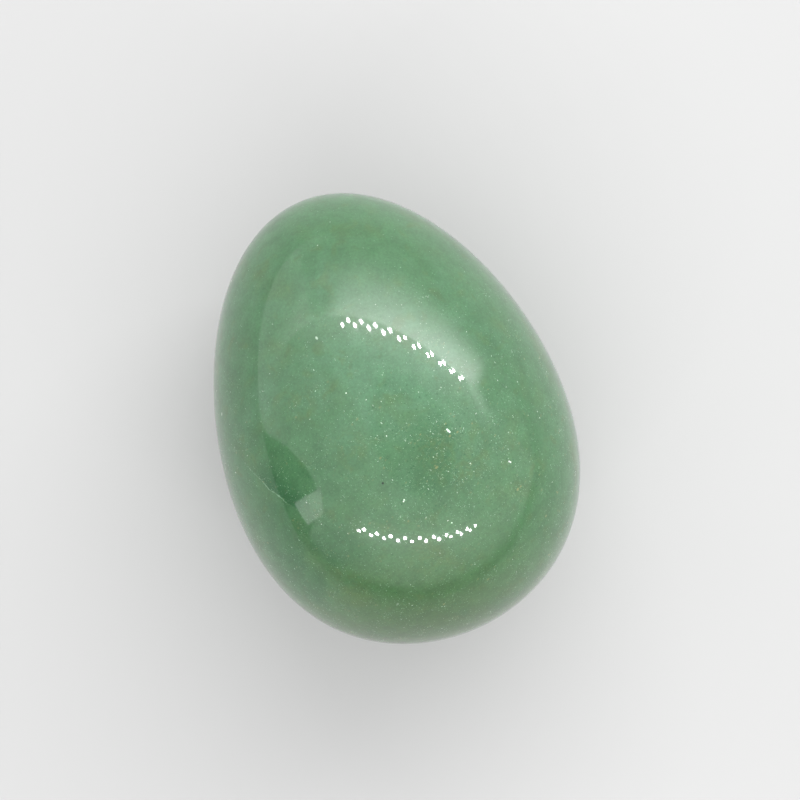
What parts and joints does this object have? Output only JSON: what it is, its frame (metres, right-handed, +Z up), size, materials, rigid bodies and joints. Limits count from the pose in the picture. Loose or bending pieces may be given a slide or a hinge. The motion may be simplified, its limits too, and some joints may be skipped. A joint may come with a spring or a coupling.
{
  "type": "palm stone",
  "caption": "Egg-shaped palm stone of polished green aventurine, lying on a small ground flat.",
  "frame": {"origin": "on the surface that the stone rests on, under the middle of its length and width", "axes": "+Z up from the resting flat; +Y along the egg's long axis towards the narrow end, so the broad end faces -Y"},
  "size_m": [0.0396, 0.052, 0.0388],
  "materials": {
    "green_aventurine": "high polish, translucent, with soft darker clouds, sugary grain and fine bright flecks"
  },
  "bodies": {
    "root": {"palm_stone": "green_aventurine"}
  },
  "joints": []
}
